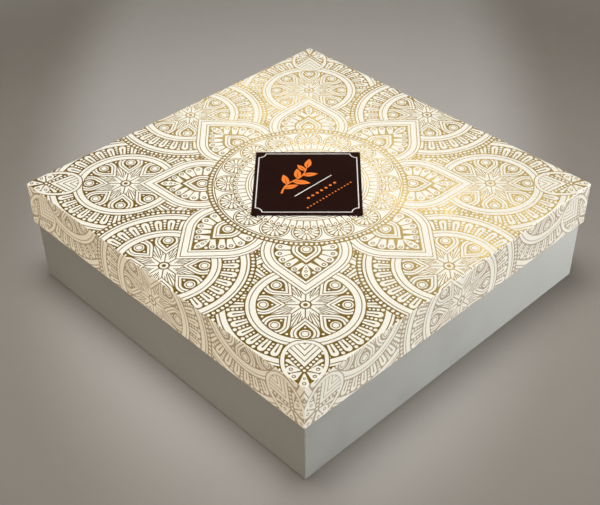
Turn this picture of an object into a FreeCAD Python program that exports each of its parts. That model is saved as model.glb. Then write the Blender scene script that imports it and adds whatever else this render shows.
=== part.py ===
"""Square lift-off sweet box: a telescoping lid over a shorter base, with a slotted divider insert.

Each half is a rigid set-up box. Five mitred greyboard panels are held at the corners by paper stays
and covered by one sheet of paper, which is turned in over the rim. The origin is the middle of the
underside, +Z is up, the front faces -Y, and every length is in millimetres.
"""

import FreeCAD, Part
import math
import os

# The box as it stands closed
LID_SIDE = 240.0            # outside width of the lid, on both sides of the square
BOX_HEIGHT = 71.0           # table to the printed top of the lid
SKIRT_DEPTH = 29.0          # outside height of the lid's skirt
LID_CLEARANCE = 0.35        # air between the lid's inside and the base, on each side

# Boards and papers
LID_BOARD = 1.2             # greyboard of the lid
BASE_BOARD = 1.5            # greyboard of the base
WRAP_PAPER = 0.15           # printed paper glued round the boards
LINING_PAPER = 0.15         # white paper glued inside
BOTTOM_PAPER = 0.15         # sheet glued under the base
STAY_PAPER = 0.08           # gummed tape over the board corners
EDGE_RADIUS = 0.5           # softened outer edges of the boards

# Folds, laps and stays
LID_TURN_IN = 16.0          # height of wrap paper folded up inside the skirt
BASE_TURN_IN = 16.0         # height of wrap paper folded down inside the base's rim
TURN_UNDER = 14.0           # width of wrap paper folded under the base
BOTTOM_SHEET_MARGIN = 3.0   # bottom sheet's edge, in from the base's outline
BOTTOM_SHEET_CORNER = 2.0   # rounded corners of the bottom sheet
STAY_WIDTH = 12.0           # each leg of a corner stay
STAY_MARGIN = 2.0           # a stay's ends, in from the ends of its corner

# Divider insert
TRAY_CARD = 0.8             # gold card that carries the dividers
INSERT_CLEARANCE = 0.6      # air between the insert and the lined walls, on each side
DIVIDER_CARD = 0.8          # thickness of a divider strip
DIVIDER_HEIGHT = 44.0
SLOT_CLEARANCE = 0.1        # air on each side of a strip in a slot
SLOT_END_GAP = 0.2          # air between the ends of two crossing slots
SLOT_LEAD_IN = 1.2          # depth and extra width of a slot's flared mouth
DIVIDER_CORNER = 4.0        # rounded upper corners of a strip
CELLS_PER_SIDE = 4

# Plaque on the lid
PLAQUE_SIDE = 64.8
PLAQUE_BOARD = 0.6
PLAQUE_PAPER = 0.15
PLAQUE_EDGE_RADIUS = 0.2
PLAQUE_TURN_IN = 8.0        # cover paper folded under the plaque's board
PLAQUE_TURN = 45.0          # degrees that the plaque is turned on the lid
TAPE_THICKNESS = 0.3        # thin double-sided foam tape under the plaque
TAPE_WIDTH = 10.0
TAPE_LENGTH = 40.0
TAPE_SPACING = 26.0         # middle to middle of the two strips

OVERRUN = 1.0               # how far a cutting shape runs past what it cuts

# Levels and widths that follow from those sizes
QUARTER_TURN = 90.0
ALONG_SHARE = 0.9           # how much of an edge's direction counts as running along an axis
SIDES = ("front", "right", "back", "left")

lid_low = BOX_HEIGHT - SKIRT_DEPTH
lid_board_side = LID_SIDE - 2 * WRAP_PAPER
lid_board_low = lid_low + WRAP_PAPER
lid_board_high = BOX_HEIGHT - WRAP_PAPER
lid_inner_side = lid_board_side - 2 * LID_BOARD
lid_ceiling = lid_board_high - LID_BOARD
rim_level = lid_ceiling - LINING_PAPER

lid_bore = lid_inner_side - 2 * max(WRAP_PAPER, LINING_PAPER)
base_side = lid_bore - 2 * LID_CLEARANCE
base_board_side = base_side - 2 * WRAP_PAPER
base_wrap_low = BOTTOM_PAPER
base_board_low = base_wrap_low + WRAP_PAPER
base_board_high = rim_level - WRAP_PAPER
base_inner_side = base_board_side - 2 * BASE_BOARD
base_floor = base_board_low + BASE_BOARD
turn_in_low = base_board_high - BASE_TURN_IN

lined_side = base_inner_side - 2 * max(WRAP_PAPER, LINING_PAPER)
lined_floor = base_floor + LINING_PAPER
tray_side = lined_side - 2 * INSERT_CLEARANCE
divider_low = lined_floor + TRAY_CARD
divider_high = divider_low + DIVIDER_HEIGHT
cell_pitch = lined_side / CELLS_PER_SIDE

tape_top = BOX_HEIGHT + TAPE_THICKNESS
plaque_high = tape_top + PLAQUE_BOARD
plaque_board_side = PLAQUE_SIDE - 2 * PLAQUE_PAPER

UP = FreeCAD.Vector(0, 0, 1)
ACROSS = FreeCAD.Vector(0, 1, 0)
ALONG = FreeCAD.Vector(1, 0, 0)


def spot(x, y, z):
    return FreeCAD.Vector(x, y, z)


def prism(side, low, high):
    """A square block, centred on the box's axis, between two levels."""
    half = side / 2
    return Part.makeBox(side, side, high - low, spot(-half, -half, low))


def soft_prism(side, low, high, radius):
    """A square block rounded along all its edges, one direction after another."""
    block = prism(side, low, high)
    kept = block
    for direction in (UP, ACROSS, ALONG):
        kept = kept.common(block.makeFillet(radius, edges_along(block, direction)))
    return kept


def turned(shape, degrees):
    copy = shape.copy()
    copy.rotate(spot(0, 0, 0), UP, degrees)
    return copy


def four_round(shape):
    """The same shape on the front, right, back and left."""
    return [turned(shape, QUARTER_TURN * step) for step in range(len(SIDES))]


def edges_along(shape, direction):
    """The edges of a block that run along a direction."""
    return [e for e in shape.Edges if abs(e.tangentAt(e.FirstParameter).dot(direction)) > ALONG_SHARE]


def outline(points):
    return Part.makePolygon([*points, points[0]])


def mitred_boards(side, height, board):
    """The floor and four walls of an open box, mitred where they meet and rounded along the outside."""
    rounding = soft_prism(side, 0, height, EDGE_RADIUS)
    top = height + OVERRUN
    floor_rings = []
    wall_rings = []
    for inset in (-OVERRUN, board):
        half = side / 2 - inset
        square = [(-half, -half), (half, -half), (half, half), (-half, half)]
        upright = [(-half, inset), (-half, top), (half, top), (half, inset)]
        floor_rings.append(outline([spot(x, y, inset) for x, y in square]))
        wall_rings.append(outline([spot(x, -half, z) for x, z in upright]))
    floor = Part.makeLoft(floor_rings, True, True).common(rounding)
    wall = Part.makeLoft(wall_rings, True, True).common(rounding)
    return [floor, *four_round(wall)]


def corner_stays(side, low, high):
    """Gummed paper angles over the four upright corners of a set of boards."""
    stay_low = low + STAY_MARGIN
    stay_high = high - STAY_MARGIN
    tape = soft_prism(side + 2 * STAY_PAPER, low, high, EDGE_RADIUS + STAY_PAPER)
    tape = tape.cut(soft_prism(side, low - EDGE_RADIUS, high + EDGE_RADIUS, EDGE_RADIUS))
    reach = STAY_WIDTH + STAY_PAPER
    corner = side / 2 - STAY_WIDTH
    window = Part.makeBox(reach, reach, stay_high - stay_low, spot(corner, corner, stay_low))
    return Part.makeCompound(four_round(tape.common(window)))


def paper_skin(side, low, high, radius, paper):
    """A sheet of paper laid all over a square block, with no thickness lost at the folds."""
    outside = soft_prism(side + 2 * paper, low - paper, high + paper, radius + paper)
    return outside.cut(soft_prism(side, low, high, radius))


def band(outer_side, paper, low, high):
    """A sheet of paper standing against the inside of four walls."""
    inner_side = outer_side - 2 * paper
    return prism(outer_side, low, high).cut(prism(inner_side, low - OVERRUN, high + OVERRUN))


# Base: boards, stays and papers

def base_boards():
    names = ["base_floor_board", *(f"base_{side}_wall" for side in SIDES)]
    boards = mitred_boards(base_board_side, base_board_high - base_board_low, BASE_BOARD)
    rise = spot(0, 0, base_board_low)
    return {name: board.translated(rise) for name, board in zip(names, boards)}


def base_wrap(stays):
    """Paper round the walls, turned down inside the rim and under the floor's edge."""
    skin = paper_skin(base_board_side, base_board_low, base_board_high, EDGE_RADIUS, WRAP_PAPER)
    mouth = base_inner_side - 2 * WRAP_PAPER
    skin = skin.cut(prism(mouth, base_board_high - OVERRUN, rim_level + OVERRUN))
    under = base_side - 2 * TURN_UNDER
    skin = skin.cut(prism(under, base_wrap_low - OVERRUN, base_board_low + OVERRUN))
    turn_in = band(base_inner_side, WRAP_PAPER, turn_in_low, base_board_high)
    return skin.fuse(turn_in).removeSplitter().cut(stays)


def base_bottom_sheet():
    """A sheet under the base that hides the edges of the turned-under paper."""
    sheet = prism(base_side - 2 * BOTTOM_SHEET_MARGIN, 0, base_wrap_low)
    return sheet.makeFillet(BOTTOM_SHEET_CORNER, edges_along(sheet, UP))


def base_wall_lining():
    return band(base_inner_side, LINING_PAPER, base_floor, turn_in_low)


def base_floor_lining():
    return prism(base_inner_side - 2 * LINING_PAPER, base_floor, lined_floor)


# Insert: a card floor and slotted strips that cross at half height

def tray_card():
    return prism(tray_side, lined_floor, divider_low)


def slot_cutter(place, mouth_level, end_level):
    """A slot across a strip, flared at its mouth so that the crossing strip finds its way in."""
    half = DIVIDER_CARD / 2 + SLOT_CLEARANCE
    inward = math.copysign(1, end_level - mouth_level)
    throat = mouth_level + inward * SLOT_LEAD_IN
    beyond = mouth_level - inward * OVERRUN
    flare = half + SLOT_LEAD_IN / 2
    profile = [
        (-flare, beyond),
        (-flare, mouth_level),
        (-half, throat),
        (-half, end_level),
        (half, end_level),
        (half, throat),
        (flare, mouth_level),
        (flare, beyond),
    ]
    face = Part.Face(outline([spot(place + x, -DIVIDER_CARD, z) for x, z in profile]))
    return face.extrude(spot(0, 2 * DIVIDER_CARD, 0))


def divider_strip(slots_open_upward):
    """A strip along X with its slots cut from the top or from the bottom to half height."""
    half = tray_side / 2
    strip = Part.makeBox(tray_side, DIVIDER_CARD, DIVIDER_HEIGHT, spot(-half, -DIVIDER_CARD / 2, divider_low))
    middle = (divider_low + divider_high) / 2
    corners = [edge for edge in edges_along(strip, ACROSS) if edge.CenterOfMass.z > middle]
    strip = strip.makeFillet(DIVIDER_CORNER, corners)
    mouth, end = divider_high, middle - SLOT_END_GAP / 2
    if not slots_open_upward:
        mouth, end = divider_low, middle + SLOT_END_GAP / 2
    for place in divider_places():
        strip = strip.cut(slot_cutter(place, mouth, end))
    return strip


def divider_places():
    """Where the strips stand, so that every cell has the same pitch."""
    return [(step - CELLS_PER_SIDE / 2) * cell_pitch for step in range(1, CELLS_PER_SIDE)]


def dividers():
    strips = {}
    row = divider_strip(slots_open_upward=True)
    column = turned(divider_strip(slots_open_upward=False), QUARTER_TURN)
    for number, place in enumerate(divider_places(), start=1):
        strips[f"divider_row_{number}"] = row.translated(spot(0, place, 0))
        strips[f"divider_column_{number}"] = column.translated(spot(place, 0, 0))
    return strips


# Lid: boards, stays and papers

def lid_boards():
    """The same construction as the base, turned upside down."""
    names = ["lid_top_board", *(f"lid_{side}_skirt" for side in SIDES)]
    boards = mitred_boards(lid_board_side, lid_board_high - lid_board_low, LID_BOARD)
    rise = spot(0, 0, lid_board_high)
    return {name: board.mirror(spot(0, 0, 0), UP).translated(rise) for name, board in zip(names, boards)}


def lid_wrap(stays):
    """The printed sheet: over the top, down the skirt and turned up inside it."""
    skin = paper_skin(lid_board_side, lid_board_low, lid_board_high, EDGE_RADIUS, WRAP_PAPER)
    mouth = lid_inner_side - 2 * WRAP_PAPER
    skin = skin.cut(prism(mouth, lid_low - OVERRUN, lid_board_low + OVERRUN))
    turn_in = band(lid_inner_side, WRAP_PAPER, lid_board_low, lid_board_low + LID_TURN_IN)
    return skin.fuse(turn_in).removeSplitter().cut(stays)


def lid_lining():
    """A white sheet folded down round the inside of the lid as far as the turned-in wrap."""
    low = lid_board_low + LID_TURN_IN
    inner_side = lid_inner_side - 2 * LINING_PAPER
    return prism(lid_inner_side, low, lid_ceiling).cut(prism(inner_side, low - OVERRUN, rim_level))


# Plaque: a covered board on two strips of foam tape

def plaque_core():
    block = soft_prism(plaque_board_side, tape_top, plaque_high, PLAQUE_EDGE_RADIUS)
    return turned(block, PLAQUE_TURN)


def plaque_cover():
    """Dark paper over the plaque's face and edges, folded under its board."""
    skin = paper_skin(plaque_board_side, tape_top, plaque_high, PLAQUE_EDGE_RADIUS, PLAQUE_PAPER)
    under = plaque_board_side - 2 * PLAQUE_TURN_IN
    skin = skin.cut(prism(under, tape_top - PLAQUE_PAPER - OVERRUN, tape_top + PLAQUE_EDGE_RADIUS))
    return turned(skin, PLAQUE_TURN)


def plaque_tape():
    strips = []
    for side in (-1, 1):
        middle = side * TAPE_SPACING / 2
        corner = spot(-TAPE_LENGTH / 2, middle - TAPE_WIDTH / 2, BOX_HEIGHT)
        strip = Part.makeBox(TAPE_LENGTH, TAPE_WIDTH, TAPE_THICKNESS, corner)
        strips.append(turned(strip, PLAQUE_TURN))
    return Part.makeCompound(strips)


def all_pieces():
    base_stays = corner_stays(base_board_side, base_board_low, base_board_high)
    lid_stays = corner_stays(lid_board_side, lid_board_low, lid_board_high)
    return {
        **base_boards(),
        "base_corner_stays": base_stays,
        "base_wrap": base_wrap(base_stays),
        "base_bottom_sheet": base_bottom_sheet(),
        "base_wall_lining": base_wall_lining(),
        "base_floor_lining": base_floor_lining(),
        "tray_card": tray_card(),
        **dividers(),
        **lid_boards(),
        "lid_corner_stays": lid_stays,
        "lid_wrap": lid_wrap(lid_stays),
        "lid_lining": lid_lining(),
        "plaque_core": plaque_core(),
        "plaque_cover": plaque_cover(),
        "plaque_tape": plaque_tape(),
    }


def main():
    os.makedirs("parts", exist_ok=True)
    for name, shape in all_pieces().items():
        shape.exportStep(f"parts/{name}.step")
        print(name, len(shape.Solids), "solid(s)", round(shape.Volume, 1), "mm3", shape.isValid())


main()
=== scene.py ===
# %% [markdown]
# # A rigid sweet box with a gold-printed lid
# The real thing is a set-up box: greyboard walls, held at the corners by gummed
# paper, wrapped in a finished paper. A deep lid slides down over the base, and a
# small dark plaque stands proud of the lid on foam tape. Inside is a card tray
# with slotted dividers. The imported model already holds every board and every
# paper as a solid, so this lesson gives them their finishes, prints the lid in
# gold, rules the plaque, and sets the light and the camera.

# %% Load the frame
import math
import bpy
import numpy as np
from mathutils import Matrix, Vector
from mathutils.geometry import delaunay_2d_cdt


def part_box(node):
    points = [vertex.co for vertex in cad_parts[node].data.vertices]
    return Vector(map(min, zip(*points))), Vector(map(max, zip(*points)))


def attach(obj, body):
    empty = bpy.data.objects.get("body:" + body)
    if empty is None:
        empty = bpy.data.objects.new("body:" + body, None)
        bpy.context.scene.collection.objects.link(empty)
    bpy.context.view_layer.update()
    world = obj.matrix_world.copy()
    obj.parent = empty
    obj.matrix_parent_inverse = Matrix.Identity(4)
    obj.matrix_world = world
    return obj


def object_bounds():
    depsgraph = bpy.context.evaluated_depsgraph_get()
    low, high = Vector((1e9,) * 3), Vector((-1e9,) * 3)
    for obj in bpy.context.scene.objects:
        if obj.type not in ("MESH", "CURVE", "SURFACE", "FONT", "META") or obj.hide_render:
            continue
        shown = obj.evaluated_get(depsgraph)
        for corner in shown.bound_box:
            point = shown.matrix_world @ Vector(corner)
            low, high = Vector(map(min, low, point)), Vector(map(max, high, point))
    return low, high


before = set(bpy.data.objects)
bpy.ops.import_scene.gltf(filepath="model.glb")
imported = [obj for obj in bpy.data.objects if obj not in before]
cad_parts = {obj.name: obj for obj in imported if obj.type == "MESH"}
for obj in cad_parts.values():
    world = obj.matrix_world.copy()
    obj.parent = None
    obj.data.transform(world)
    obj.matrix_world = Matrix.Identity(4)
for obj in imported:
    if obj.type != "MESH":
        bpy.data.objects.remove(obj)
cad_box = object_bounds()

MM = 0.001

# %% [markdown]
# ## Measuring the lid
# Everything that follows is placed from the lid, so its box is read once. The
# print is drawn in shares of the lid's width, which keeps it right if the box is
# made in another size.

# %% Lid measures
lid_low, lid_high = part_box("lid_wrap")
lid_width = lid_high.x - lid_low.x
lid_top = lid_high.z
skirt_depth = lid_high.z - lid_low.z
print("lid width mm:", round(lid_width / MM, 2), "skirt mm:", round(skirt_depth / MM, 2))

# %% [markdown]
# ## The camera
# The photographer stood off one corner and looked down on the lid. A camera can
# be aimed by eye, but a corner view of a square box fixes it: the four corners of
# the lid and the foot of the base give the direction, the distance and the lens.
# The camera looks at a point just below the lid's middle, and leans very slightly.

# %% Place the camera
AZIMUTH = math.radians(-43.66)
ELEVATION = math.radians(38.93)
LEAN = math.radians(-0.78)
DISTANCE_SHARE = 2.695
AIM_RIGHT_SHARE = -0.0187
AIM_UP_SHARE = -0.1729
LENS_MM = 64.62
SENSOR_MM = 36.0

back = Vector((
    math.sin(AZIMUTH) * math.cos(ELEVATION),
    -math.cos(AZIMUTH) * math.cos(ELEVATION),
    math.sin(ELEVATION),
))
level_right = Vector((math.cos(AZIMUTH), math.sin(AZIMUTH), 0.0))
level_up = back.cross(level_right)
right = math.cos(LEAN) * level_right + math.sin(LEAN) * level_up
up = -math.sin(LEAN) * level_right + math.cos(LEAN) * level_up
aim = Vector((0.0, 0.0, lid_top)) + (AIM_RIGHT_SHARE * right + AIM_UP_SHARE * up) * lid_width

lens = bpy.data.cameras.new("corner_camera")
lens.lens = LENS_MM
lens.sensor_width = SENSOR_MM
camera = bpy.data.objects.new("corner_camera", lens)
bpy.context.scene.collection.objects.link(camera)
camera.matrix_world = Matrix.Translation(aim + back * DISTANCE_SHARE * lid_width) @ (
    Matrix((right, up, back)).transposed().to_4x4()
)
bpy.context.scene.camera = camera
print("camera stands at", [round(v, 3) for v in camera.matrix_world.translation])

# %% [markdown]
# ## Small helpers for finishes
# A finish is a tree of shader nodes. Wiring each link by hand hides what matters,
# so one helper makes a node and sets or links its inputs in a single call. Sums,
# ramps and colour mixes are so common that each has a short form. The mix node
# keeps a row of sockets for each kind of data, so the places of its colour sockets
# get names.

# %% Node helpers
MIX_SHARE, MIX_FIRST, MIX_SECOND, MIX_COLOUR = 0, 6, 7, 2


def node(tree, kind, inputs=None, **settings):
    """A shader node; an input that is another node's socket is linked, any other is set."""
    made = tree.nodes.new("ShaderNode" + kind)
    for key, value in settings.items():
        setattr(made, key, value)
    for key, value in (inputs or {}).items():
        if isinstance(value, bpy.types.NodeSocket):
            tree.links.new(value, made.inputs[key])
        else:
            made.inputs[key].default_value = value
    return made


def reckon(tree, operation, first, second, **settings):
    """The result of one sum on two values."""
    return node(tree, "Math", {0: first, 1: second}, operation=operation, **settings).outputs[0]


def ramp(tree, value, start, end, first=0.0, last=1.0, **settings):
    """Goes from first to last while a value goes from start to end."""
    return node(tree, "MapRange", {
        "Value": value, "From Min": start, "From Max": end, "To Min": first, "To Max": last,
    }, **settings).outputs[0]


def mix_colour(tree, share, first, second):
    """The colour socket that goes from the first colour to the second by a share."""
    inputs = {MIX_SHARE: share, MIX_FIRST: first, MIX_SECOND: second}
    return node(tree, "Mix", inputs, data_type="RGBA").outputs[MIX_COLOUR]


print("node helpers ready")

# %% [markdown]
# ## Effects that finishes share
# A node group is a small machine with named sockets. It is built once and set down
# in every finish that needs it, each time with other values. One helper opens an
# empty group with its sockets in place, and another sets a finished group down.

# %% Group helpers
def shared_effect(name, inputs, outputs):
    """An empty node group with named sockets; its inner ends come back with it."""
    group = bpy.data.node_groups.new(name, "ShaderNodeTree")
    for label, kind, value in inputs:
        socket = group.interface.new_socket(
            label, in_out="INPUT", socket_type="NodeSocket" + kind
        )
        socket.default_value = value
    for label, kind in outputs:
        group.interface.new_socket(label, in_out="OUTPUT", socket_type="NodeSocket" + kind)
    inner = group.nodes.new("NodeGroupInput")
    outer = group.nodes.new("NodeGroupOutput")
    return group, inner.outputs, outer.inputs


def place_effect(tree, group, inputs):
    """A shared effect set down in a finish with that finish's own values."""
    return node(tree, "Group", inputs, node_tree=group).outputs


print("group helpers ready")

# %% [markdown]
# ## Paper fibres
# Paper is a felt of fine fibres. Close up, its tone wanders in short streaks, and
# its face is very slightly bumpy. Noise that is stretched one way gives streaks in
# one direction only, so two stretched noises that cross are laid over each other
# and the stronger one shows at each point.

# %% Fibre effect
STREAKS = ((1.0, 0.16, 0.5), (0.18, 1.0, 0.9))
FELT_FROM, FELT_TO = 0.42, 0.72

fibres, given, result = shared_effect(
    "paper_fibres",
    [
        ("Paper", "Color", (0.8, 0.8, 0.8, 1.0)),
        ("Fibre", "Color", (0.7, 0.7, 0.7, 1.0)),
        ("Fibres Per Metre", "Float", 2000.0),
        ("Amount", "Float", 0.5),
    ],
    [("Colour", "Color"), ("Height", "Float")],
)
place = node(fibres, "TexCoord").outputs["Object"]
fine = node(
    fibres, "VectorMath", {0: place, "Scale": given["Fibres Per Metre"]}, operation="SCALE"
).outputs[0]
crossed = []
for stretch in STREAKS:
    run = node(fibres, "Mapping", {"Vector": fine, "Scale": stretch}).outputs[0]
    grain = node(fibres, "TexNoise", {"Vector": run, "Scale": 1.0, "Detail": 3.0})
    crossed.append(grain.outputs[0])
felt = reckon(fibres, "MAXIMUM", *crossed)
share = reckon(fibres, "MULTIPLY", ramp(fibres, felt, FELT_FROM, FELT_TO), given["Amount"])
fibres.links.new(mix_colour(fibres, share, given["Paper"], given["Fibre"]), result["Colour"])
fibres.links.new(felt, result["Height"])
print("effect:", fibres.name)

# %% [markdown]
# ## Rubbed edges
# A wrapped box wears first where two faces meet: the folds go pale and dull from
# stacking and sliding. The edge of a box can be found from a point's depth below
# its three pairs of faces: on a face one depth is nothing, and near an edge a
# second one is small as well. The middle one of the three depths is therefore the
# distance to the nearest edge, and noise breaks the line up so it looks handled.

# %% Edge effect
BLOTCHES_PER_METRE = 190.0
BLOTCH_FROM, BLOTCH_TO = 0.40, 0.72

edge_rub, given, result = shared_effect(
    "edge_rub",
    [
        ("Middle", "Vector", (0.0, 0.0, 0.0)),
        ("Half Size", "Vector", (0.1, 0.1, 0.1)),
        ("Turn", "Float", 0.0),
        ("Reach", "Float", 0.001),
    ],
    [("Mask", "Float")],
)
place = node(edge_rub, "TexCoord").outputs["Object"]
moved = node(edge_rub, "VectorMath", {0: place, 1: given["Middle"]}, operation="SUBTRACT")
turned = node(
    edge_rub, "VectorRotate", {"Vector": moved.outputs[0], "Angle": given["Turn"]},
    rotation_type="Z_AXIS",
)
size = node(edge_rub, "VectorMath", {0: turned.outputs[0]}, operation="ABSOLUTE").outputs[0]
depth = node(edge_rub, "VectorMath", {0: given["Half Size"], 1: size}, operation="SUBTRACT")
x, y, z = node(edge_rub, "SeparateXYZ", {0: depth.outputs[0]}).outputs
lower, higher = reckon(edge_rub, "MINIMUM", x, y), reckon(edge_rub, "MAXIMUM", x, y)
to_edge = reckon(edge_rub, "MAXIMUM", lower, reckon(edge_rub, "MINIMUM", higher, z))
blotch = node(edge_rub, "TexNoise", {
    "Vector": place, "Scale": BLOTCHES_PER_METRE, "Detail": 5.0, "Roughness": 0.7,
}).outputs[0]
reach = ramp(edge_rub, blotch, BLOTCH_FROM, BLOTCH_TO, last=given["Reach"])
edge_rub.links.new(ramp(edge_rub, to_edge, 0.0, reach, first=1.0, last=0.0), result["Mask"])
print("effect:", edge_rub.name)

# %% [markdown]
# ## Handling
# Fingers and shelves leave faint patches that are a little duller or shinier than
# the rest. Soft noise at the size of a fingertip gives the mask, and each finish
# decides how far its roughness follows it.

# %% Handling effect
PATCH_FROM, PATCH_TO = 0.35, 0.65

handling, given, result = shared_effect(
    "handling", [("Patches Per Metre", "Float", 40.0)], [("Mask", "Float")]
)
place = node(handling, "TexCoord").outputs["Object"]
patch = node(handling, "TexNoise", {
    "Vector": place, "Scale": given["Patches Per Metre"], "Detail": 4.0, "Distortion": 0.4,
}).outputs[0]
handling.links.new(ramp(handling, patch, PATCH_FROM, PATCH_TO), result["Mask"])
print("effect:", handling.name)

# %% [markdown]
# ## One recipe for every paper and board
# All the sheets on this box are the same kind of thing with different numbers:
# a paper tone, a fibre tone, a gloss that wanders with handling, a fine bump and,
# where the sheet is an outer wrap, rubbed edges. One recipe with plain values
# keeps them alike, and a finish that needs more adds it afterwards.

# %% Paper recipe
FINGER_PATCHES = 45.0


def rgb(red, green, blue):
    return (red, green, blue, 1.0)


def shader_of(finish):
    return finish.node_tree.nodes["Principled BSDF"]


def paper(name, tone, fibre, per_metre, amount, gloss, bump_mm, rubbed=None):
    """A sheet finish; rubbed holds a wrap's node, its turn, the reach in mm and the worn tone."""
    finish = bpy.data.materials.new(name)
    finish.use_nodes = True
    tree, shader = finish.node_tree, shader_of(finish)
    sheet = place_effect(tree, fibres, {
        "Paper": tone, "Fibre": fibre, "Fibres Per Metre": per_metre, "Amount": amount,
    })
    colour = sheet["Colour"]
    if rubbed:
        wrap, turn, reach_mm, worn = rubbed
        low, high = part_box(wrap)
        half = (high - low) / 2
        half.x, half.y = half.x * math.cos(turn), half.y * math.cos(turn)
        mask = place_effect(tree, edge_rub, {
            "Middle": (low + high) / 2, "Half Size": half, "Turn": turn, "Reach": reach_mm * MM,
        })["Mask"]
        colour = mix_colour(tree, mask, colour, worn)
    tree.links.new(colour, shader.inputs["Base Color"])
    touched = place_effect(tree, handling, {"Patches Per Metre": FINGER_PATCHES})["Mask"]
    tree.links.new(ramp(tree, touched, 0.0, 1.0, *gloss), shader.inputs["Roughness"])
    bump = node(tree, "Bump", {
        "Height": sheet["Height"], "Distance": bump_mm * MM, "Strength": 1.0,
    })
    tree.links.new(bump.outputs[0], shader.inputs["Normal"])
    return finish


def tune(finish, socket, value):
    """Sets one plain value on a finish's own shader."""
    shader_of(finish).inputs[socket].default_value = value


def wear(finish, *names):
    """Gives a finish to CAD pieces by name."""
    for name in names:
        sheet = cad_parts[name].data
        sheet.materials.clear()
        sheet.materials.append(finish)
    print(finish.name, "->", len(names), "piece(s)")


print("paper recipe ready")

# %% [markdown]
# ## The lid's white art paper
# The lid is wrapped in a white coated paper: warm white, faintly glossy, with
# fibres that only just show. Its folds are rubbed to a duller cream.

# %% Lid paper
lid_paper = paper(
    "lid_paper", tone=rgb(0.876, 0.856, 0.778), fibre=rgb(0.818, 0.792, 0.70),
    per_metre=2600.0, amount=0.45, gloss=(0.44, 0.56), bump_mm=0.006,
    rubbed=("lid_wrap", 0.0, 0.9, rgb(0.66, 0.60, 0.50)),
)
wear(lid_paper, "lid_wrap")

# %% [markdown]
# ## The base's pearl-grey paper
# The base wears a plain grey paper with a pearl coat: it stays a flat mid grey in
# shade and lights up along the side that faces the lamp. On the real sheet, flakes
# of mica in the coat do that. A grey metal with a high roughness gives the same
# slow sheen without a second layer.

# %% Base paper
base_paper = paper(
    "base_paper", tone=rgb(0.345, 0.348, 0.335), fibre=rgb(0.309, 0.312, 0.300),
    per_metre=1700.0, amount=0.5, gloss=(0.66, 0.74), bump_mm=0.008,
    rubbed=("base_wrap", 0.0, 0.8, rgb(0.52, 0.50, 0.46)),
)
tune(base_paper, "Metallic", 1.0)
wear(base_paper, "base_wrap", "base_bottom_sheet")

# %% [markdown]
# ## Boards, stays and linings
# These are inside and show only when the box is open. Greyboard is pulp from
# waste paper, so it is flecked; the stays are brown gummed kraft; the linings are
# uncoated white; the dividers are a coated white board.

# %% Inner papers and boards
greyboard = paper(
    "greyboard", tone=rgb(0.34, 0.315, 0.28), fibre=rgb(0.18, 0.165, 0.15),
    per_metre=1100.0, amount=0.8, gloss=(0.80, 0.92), bump_mm=0.03,
)
wear(
    greyboard, "base_floor_board", "base_front_wall", "base_right_wall", "base_back_wall",
    "base_left_wall", "lid_top_board", "lid_front_skirt", "lid_right_skirt", "lid_back_skirt",
    "lid_left_skirt", "plaque_core",
)
stay_tape = paper(
    "stay_tape", tone=rgb(0.44, 0.29, 0.155), fibre=rgb(0.56, 0.40, 0.24),
    per_metre=900.0, amount=0.7, gloss=(0.55, 0.70), bump_mm=0.02,
)
wear(stay_tape, "base_corner_stays", "lid_corner_stays")
lining_paper = paper(
    "lining_paper", tone=rgb(0.80, 0.785, 0.745), fibre=rgb(0.70, 0.685, 0.64),
    per_metre=1500.0, amount=0.6, gloss=(0.70, 0.85), bump_mm=0.015,
)
wear(lining_paper, "base_wall_lining", "base_floor_lining", "lid_lining")
divider_board = paper(
    "divider_board", tone=rgb(0.80, 0.78, 0.735), fibre=rgb(0.70, 0.68, 0.63),
    per_metre=1800.0, amount=0.5, gloss=(0.45, 0.60), bump_mm=0.010,
)
wear(divider_board, *[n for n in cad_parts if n.startswith("divider_")])

# %% [markdown]
# ## The gold tray card
# Sweet trays are often lined with a gold film over card. The film is a metal, so
# its colour comes from what it reflects; the card's felt shows through as a fine
# bump that keeps it satin.

# %% Tray card
tray_gold = paper(
    "tray_gold", tone=rgb(0.78, 0.55, 0.20), fibre=rgb(0.70, 0.47, 0.16),
    per_metre=1400.0, amount=0.5, gloss=(0.30, 0.42), bump_mm=0.02,
)
tune(tray_gold, "Metallic", 0.9)
wear(tray_gold, "tray_card")

# %% [markdown]
# ## Plaque paper and foam tape
# The plaque is covered in a very dark brown paper with a low sheen. Its tape is
# white foam: round pores in a soft skin, made with a cell pattern as the bump.

# %% Plaque finishes
PLAQUE_TURN = math.radians(45)
PORES_PER_METRE, PORE_DEPTH = 2600.0, 0.12 * MM

plaque_paper = paper(
    "plaque_paper", tone=rgb(0.0125, 0.0034, 0.0028), fibre=rgb(0.019, 0.0066, 0.0055),
    per_metre=2200.0, amount=0.6, gloss=(0.52, 0.64), bump_mm=0.010,
    rubbed=("plaque_cover", PLAQUE_TURN, 0.35, rgb(0.12, 0.07, 0.05)),
)
tune(plaque_paper, "Specular IOR Level", 0.06)
wear(plaque_paper, "plaque_cover")

foam = paper(
    "foam_tape", tone=rgb(0.78, 0.78, 0.76), fibre=rgb(0.66, 0.66, 0.64),
    per_metre=1600.0, amount=0.6, gloss=(0.75, 0.9), bump_mm=0.01,
)
tree = foam.node_tree
place = node(tree, "TexCoord").outputs["Object"]
pores = node(tree, "TexVoronoi", {"Vector": place, "Scale": PORES_PER_METRE})
tree.links.new(pores.outputs["Distance"], tree.nodes["Bump"].inputs["Height"])
tree.nodes["Bump"].inputs["Distance"].default_value = PORE_DEPTH
wear(foam, "plaque_tape")

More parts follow.
